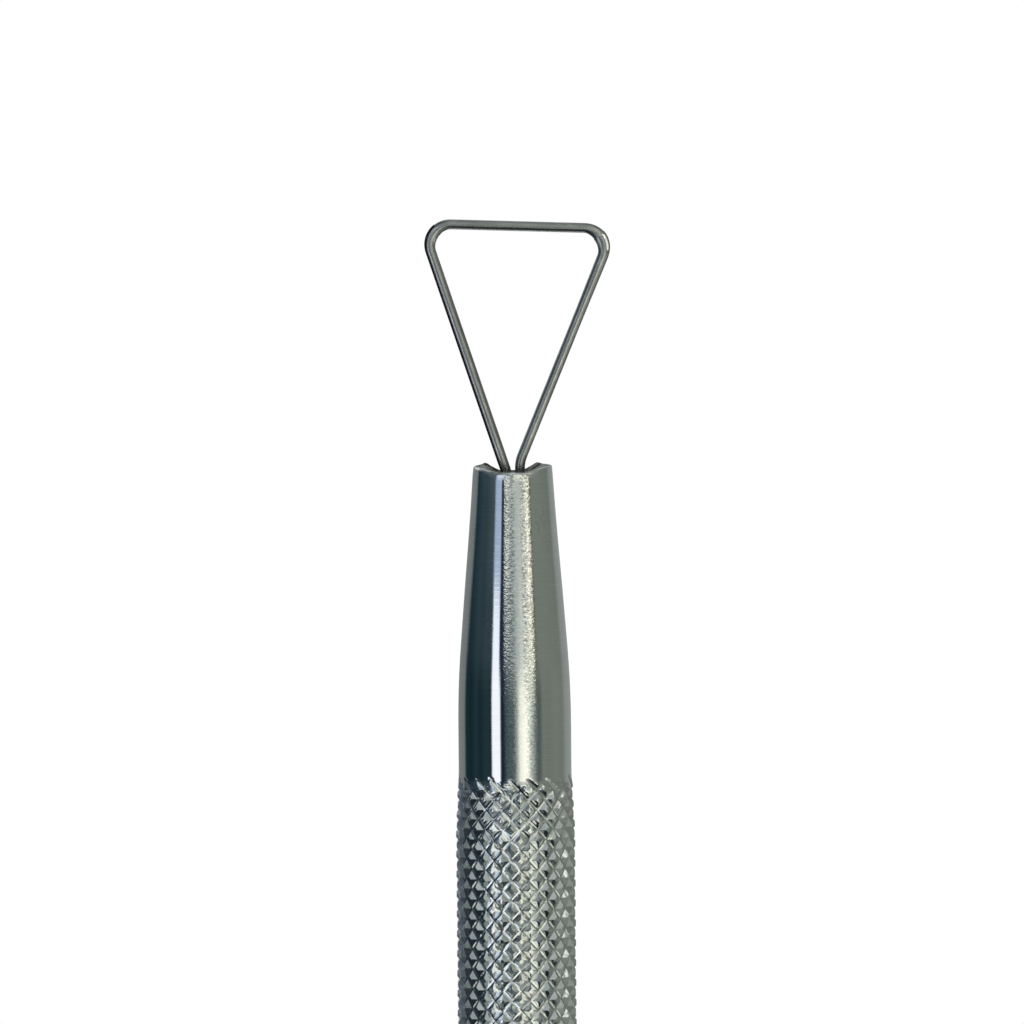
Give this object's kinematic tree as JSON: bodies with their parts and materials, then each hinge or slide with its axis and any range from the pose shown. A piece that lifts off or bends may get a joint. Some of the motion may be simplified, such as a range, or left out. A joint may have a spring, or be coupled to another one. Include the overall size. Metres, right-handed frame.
{
  "type": "cuticle pusher",
  "caption": "Slim knurled hand tool with a triangular wire scraper loop at one end and a hollowed spoon pusher at the other.",
  "frame": {"origin": "on the bar's axis, half way along the knurled grip and half way between the two mouths", "axes": "+Z along the bar towards the wire loop; the loop lies in the XZ plane; the spoon's hollow faces -Y"},
  "size_m": [0.0092, 0.006, 0.1269],
  "materials": {
    "polished_bar": "turned and polished stainless steel, bright knurl with darker grooves",
    "spring_wire": "drawn stainless spring wire, dull grey",
    "forged_steel": "forged and ground stainless steel, satin",
    "braze": "dark, slightly pitted silver braze"
  },
  "bodies": {
    "root": {"handle": "polished_bar", "scraper_loop": "spring_wire", "loop_braze": "braze", "pusher": "forged_steel", "pusher_braze": "braze"}
  },
  "joints": []
}
